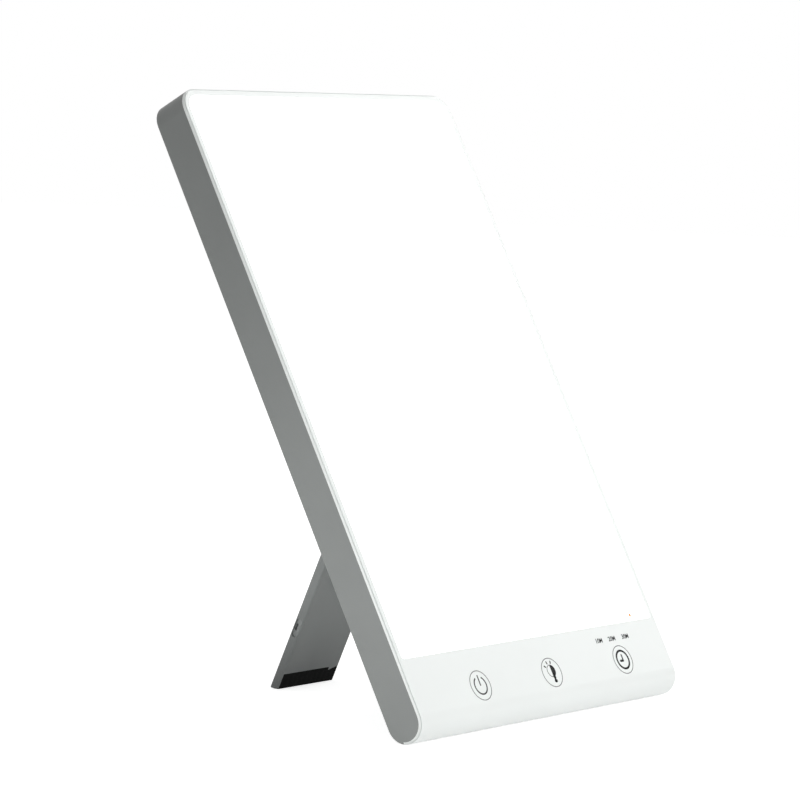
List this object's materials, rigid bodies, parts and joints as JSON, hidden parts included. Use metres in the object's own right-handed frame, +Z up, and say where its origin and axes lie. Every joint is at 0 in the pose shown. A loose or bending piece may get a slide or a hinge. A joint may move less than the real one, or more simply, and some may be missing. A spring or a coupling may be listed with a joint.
{
  "type": "light therapy lamp",
  "caption": "Slim tablet-shaped light therapy lamp: glowing opal panel, touch-key strip round its lower end, folding rear stand.",
  "frame": {"origin": "on the table, under the middle of the whole lamp's box, with the stand open as in the picture", "axes": "+X to the viewer's right, +Y to the back, +Z up; the glowing face looks along -Y and up"},
  "size_m": [0.152, 0.1242, 0.2152],
  "materials": {
    "housing_grey": "satin silver-grey moulding",
    "leg_grey": "satin silver-grey moulding",
    "cover_white": "smooth semi-gloss white",
    "opal": "opal acrylic, lit from behind",
    "optical_film": "translucent film",
    "clear_acrylic": "clear acrylic with polished edges",
    "reflector_white": "white reflecting film",
    "spreader_metal": "rolled sheet",
    "board_white": "white solder mask",
    "board_green": "green solder mask",
    "lamp_phosphor": "yellow phosphor in white packages",
    "copper": "bare copper",
    "component_black": "moulded epoxy",
    "component_can": "drawn can",
    "connector_cream": "moulded nylon",
    "wire_black": "insulated wire",
    "inlet_black": "moulded socket",
    "contact_metal": "plated contact",
    "screw_steel": "zinc-plated steel",
    "hinge_steel": "brushed steel",
    "foot_rubber": "matt black rubber",
    "amber_lens": "lit amber lens"
  },
  "bodies": {
    "lamp_panel": {"rear_housing": "housing_grey", "front_cover": "cover_white", "diffuser_panel": "opal", "diffuser_film": "optical_film", "light_guide_plate": "clear_acrylic", "reflector_sheet": "reflector_white", "heat_spreader": "spreader_metal", "lamp_bar": "board_white", "lamp_chips": "lamp_phosphor", "touch_pads": "copper", "touch_board": "board_green", "touch_chip": "component_black", "timer_leds": "reflector_white", "indicator_lens": "amber_lens", "driver_board": "board_green", "controller_chip": "component_black", "power_transistors": "component_black", "power_inductor": "component_black", "smoothing_capacitor": "component_can", "board_link": "connector_cream", "lamp_connector": "connector_cream", "lamp_wires": "wire_black", "jack_body": "inlet_black", "jack_pin": "contact_metal", "jack_wires": "wire_black", "housing_screws": "screw_steel", "hinge_bracket": "hinge_steel", "bracket_screws": "screw_steel", "hinge_pin": "hinge_steel", "pin_clip": "hinge_steel", "friction_washers": "hinge_steel"},
    "stand": {"stand_leg": "leg_grey", "foot_pad": "foot_rubber"}
  },
  "joints": [
    {"name": "stand_fold", "type": "hinge", "parent": "lamp_panel", "child": "stand", "pos_m": [0, 0.00467, 0.10556], "axis": [-1, 0, 0], "range_deg": [0, 52.2]}
  ]
}
